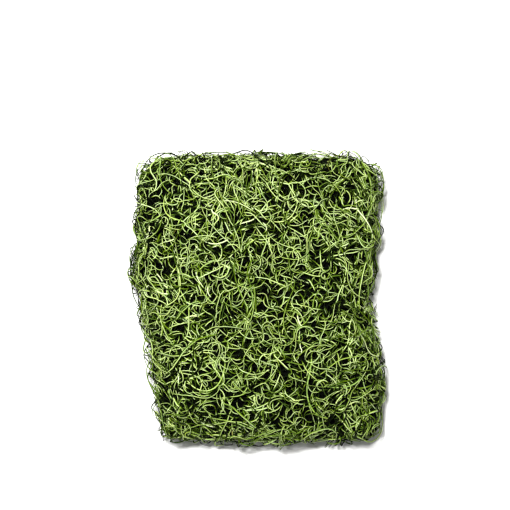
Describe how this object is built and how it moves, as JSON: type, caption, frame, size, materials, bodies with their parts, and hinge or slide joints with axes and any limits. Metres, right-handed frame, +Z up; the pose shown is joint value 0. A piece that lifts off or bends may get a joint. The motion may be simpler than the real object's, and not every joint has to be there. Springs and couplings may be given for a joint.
{
  "type": "spanish moss bunch",
  "caption": "Soft rectangular cake of preserved Spanish moss lying flat: curled, forking stems tangled round a small wad, with loose stems over it.",
  "frame": {"origin": "middle of the footprint, on the surface that the bunch lies on", "axes": "+Z up, across the thickness of the cake; +Y along its length, towards its head; +X across its width"},
  "size_m": [0.1828, 0.2044, 0.0401],
  "materials": {
    "tangle": "dry plant fibre, dyed moss green, matt",
    "loose_stems": "dry plant fibre, dyed light moss green, matt"
  },
  "bodies": {
    "root": {"moss_tangle": "tangle", "loose_stem_01": "loose_stems", "loose_stem_02": "loose_stems", "loose_stem_03": "loose_stems", "loose_stem_04": "loose_stems", "loose_stem_05": "loose_stems", "loose_stem_06": "loose_stems", "loose_stem_07": "loose_stems", "loose_stem_08": "loose_stems", "loose_stem_09": "loose_stems", "loose_stem_10": "loose_stems", "loose_stem_11": "loose_stems", "loose_stem_12": "loose_stems", "loose_stem_13": "loose_stems", "loose_stem_14": "loose_stems", "loose_stem_15": "loose_stems", "loose_stem_16": "loose_stems", "loose_stem_17": "loose_stems", "loose_stem_18": "loose_stems", "loose_stem_19": "loose_stems", "loose_stem_20": "loose_stems", "loose_stem_21": "loose_stems", "loose_stem_22": "loose_stems"}
  },
  "joints": []
}
